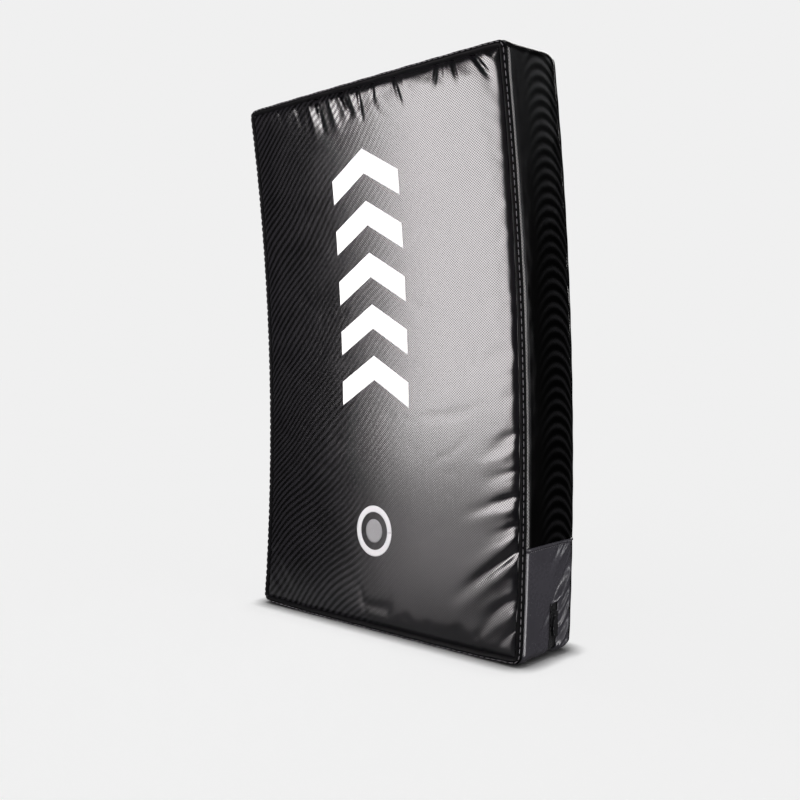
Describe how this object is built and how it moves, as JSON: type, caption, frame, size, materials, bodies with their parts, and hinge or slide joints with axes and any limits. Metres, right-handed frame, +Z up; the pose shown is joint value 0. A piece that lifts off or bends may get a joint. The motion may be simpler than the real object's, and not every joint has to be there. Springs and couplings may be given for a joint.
{
  "type": "kick shield",
  "caption": "Tall curved foam strike shield in a stitched, zipped black cover, with padded forearm straps and a grip handle on its back.",
  "frame": {"origin": "on the floor, in the middle of the whole object's footprint", "axes": "+Z up, +X across the shield towards the side that has the zipper slider, -Y the way the hollow strike face looks"},
  "size_m": [0.4687, 0.1761, 0.7],
  "materials": {
    "foam_firm": "matte closed-cell foam",
    "foam_soft": "matte open-cell foam",
    "pu_woven": "satin, fine woven embossing",
    "pu_smooth": "smooth satin",
    "binding_tape": "smooth gloss",
    "zip_tape": "matte twill",
    "zip_coil": "gloss",
    "zip_metal": "gloss black paint",
    "webbing": "ribbed matte",
    "strap_pad": "satin",
    "anchor_patch": "satin",
    "print_white": "satin screen print",
    "print_pale": "satin screen print",
    "print_grey": "satin screen print"
  },
  "bodies": {
    "shield": {"core_strike_layer": "foam_firm", "core_middle_layer": "foam_soft", "core_back_layer": "foam_firm", "front_panel": "pu_woven", "back_panel": "pu_woven", "upper_boxing": "pu_woven", "lower_boxing": "pu_smooth", "front_binding": "binding_tape", "back_binding": "binding_tape", "zipper_tape_front": "zip_tape", "zipper_tape_back": "zip_tape", "zipper_coil_front": "zip_coil", "zipper_coil_back": "zip_coil", "zipper_stop_left": "zip_metal", "zipper_stop_right": "zip_metal", "mark_chevrons": "print_white", "mark_roundel_ring": "print_pale", "mark_roundel_disc": "print_grey", "lower_strap_webbing": "webbing", "lower_strap_sleeve": "strap_pad", "lower_strap_patch_left": "anchor_patch", "lower_strap_patch_right": "anchor_patch", "upper_strap_webbing": "webbing", "upper_strap_sleeve": "strap_pad", "upper_strap_patch_left": "anchor_patch", "upper_strap_patch_right": "anchor_patch", "grip_handle_webbing": "webbing", "grip_handle_sleeve": "strap_pad", "grip_handle_patch_left": "anchor_patch", "grip_handle_patch_right": "anchor_patch"},
    "slider": {"zipper_slider": "zip_metal"},
    "pull": {"zipper_pull": "zip_metal"}
  },
  "joints": [
    {"name": "slider_slide", "type": "slide", "parent": "shield", "child": "slider", "axis": [0, -0.1028, -0.9947], "range_m": [0, 0.016]},
    {"name": "pull_swing", "type": "hinge", "parent": "slider", "child": "pull", "pos_m": [0.2344, -0.023, 0.04698], "axis": [0, -0.9947, 0.1028], "range_deg": [0, 170]}
  ]
}
